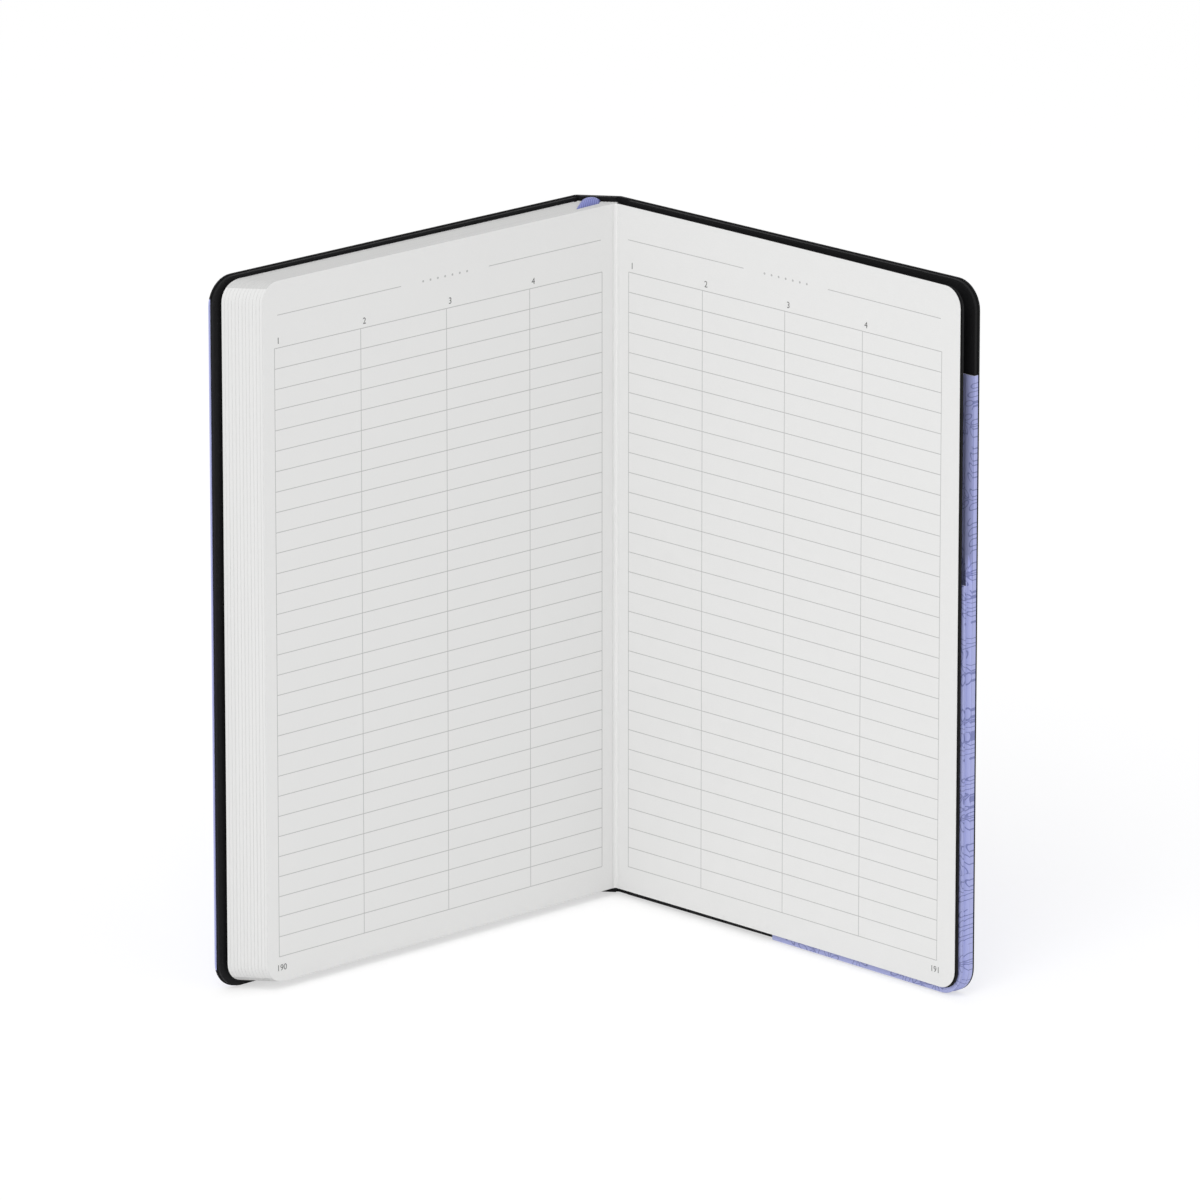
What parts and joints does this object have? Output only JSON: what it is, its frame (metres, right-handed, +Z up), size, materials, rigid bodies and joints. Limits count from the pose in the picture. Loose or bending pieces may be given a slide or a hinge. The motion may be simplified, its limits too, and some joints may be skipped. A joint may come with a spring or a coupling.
{
  "type": "notebook",
  "caption": "Soft-cover sewn notebook standing open near its last pages, with rounded corners, a ribbon bookmark and a pleated pocket inside the back cover.",
  "frame": {"origin": "the middle of the spine at its tail end, on the plane the notebook stands on, in the printed covering", "axes": "+Z up the spine from tail to head, -Y towards the open pages, +X towards the back cover side"},
  "size_m": [0.1854, 0.0889, 0.1805],
  "materials": {
    "cover_skin": "matte printed covering",
    "black_board": "matte black board",
    "black_lining": "matte black paper",
    "hinge_strip": "matte printed covering",
    "gathering_paper": "uncoated",
    "leaf_paper": "uncoated, ruled",
    "mull": "open weave",
    "thread": "linen thread",
    "ribbon": "ribbed satin",
    "pocket_card": "matte printed card"
  },
  "bodies": {
    "block": {"spine_skin": "cover_skin", "spine_inlay": "black_board", "spine_lining": "mull", "sewing_thread_1": "thread", "sewing_thread_2": "thread", "sewing_thread_3": "thread", "sewing_thread_4": "thread", "sewing_thread_5": "thread", "gathering_01": "gathering_paper", "gathering_02": "gathering_paper", "gathering_03": "gathering_paper", "gathering_04": "gathering_paper", "gathering_05": "gathering_paper", "gathering_06": "gathering_paper", "gathering_07": "gathering_paper", "gathering_08": "gathering_paper", "gathering_09": "gathering_paper", "gathering_10": "gathering_paper", "gathering_11": "gathering_paper", "gathering_12": "gathering_paper", "facing_leaf": "leaf_paper", "ribbon_bookmark": "ribbon"},
    "front_cover": {"front_cover_skin": "cover_skin", "front_board": "black_board", "front_pastedown": "black_lining"},
    "front_flyleaf": {"front_flyleaf": "black_lining"},
    "first_leaf": {"first_leaf": "leaf_paper"},
    "back_strip": {"back_hinge_strip": "hinge_strip"},
    "back_cover": {"back_cover_skin": "cover_skin", "back_board": "black_board", "back_pastedown": "black_lining", "pocket_back_sheet": "pocket_card", "pocket_fore_gusset": "pocket_card", "pocket_spine_gusset": "pocket_card", "pocket_tail_fold": "pocket_card"},
    "pocket_panel": {"pocket_front_panel": "pocket_card"},
    "last_leaf": {"last_leaf": "leaf_paper"},
    "back_flyleaf": {"back_flyleaf": "black_lining"}
  },
  "joints": [
    {"name": "front_cover_hinge", "type": "hinge", "parent": "block", "child": "front_cover", "pos_m": [-0.00555, 0.00078, 0.09], "axis": [0, 0, 1], "range_deg": [-110, 0]},
    {"name": "front_flyleaf_turn", "type": "hinge", "parent": "block", "child": "front_flyleaf", "pos_m": [-0.006, -0.00184, 0.09], "axis": [0, 0, 1], "range_deg": [-66, 0]},
    {"name": "first_leaf_turn", "type": "hinge", "parent": "block", "child": "first_leaf", "pos_m": [-0.00578, -0.00208, 0.09], "axis": [0, 0, 1], "range_deg": [-33, 0]},
    {"name": "back_closing_fold", "type": "hinge", "parent": "block", "child": "back_strip", "pos_m": [0.00445, -0.00401, 0.09], "axis": [0, 0, 1], "range_deg": [-91, 0]},
    {"name": "back_cover_hinge", "type": "hinge", "parent": "back_strip", "child": "back_cover", "pos_m": [0.00797, -0.00317, 0.09], "axis": [0, 0, 1], "range_deg": [0, 110]},
    {"name": "last_leaf_turn", "type": "hinge", "parent": "block", "child": "last_leaf", "pos_m": [0.00445, -0.00401, 0.09], "axis": [0, 0, 1], "range_deg": [-91, 0]},
    {"name": "back_flyleaf_turn", "type": "hinge", "parent": "block", "child": "back_flyleaf", "pos_m": [0.00445, -0.00401, 0.09], "axis": [0, 0, 1], "range_deg": [-91, 0]},
    {"name": "pocket_panel_gape", "type": "hinge", "parent": "back_cover", "child": "pocket_panel", "pos_m": [0.06517, -0.06423, 0.00035], "axis": [0.6945, -0.7195, 0], "range_deg": [0, 12], "deforming": ["pocket_fore_gusset", "pocket_spine_gusset"]}
  ],
  "couplings": [
    {"joint": "front_flyleaf_turn", "follows": "front_cover_hinge", "ratio": 0.6},
    {"joint": "first_leaf_turn", "follows": "front_cover_hinge", "ratio": 0.3},
    {"joint": "last_leaf_turn", "follows": "back_closing_fold", "ratio": 1},
    {"joint": "back_flyleaf_turn", "follows": "back_closing_fold", "ratio": 1},
    {"joint": "pocket_panel_gape", "follows": "back_cover_hinge", "ratio": 0.109}
  ]
}
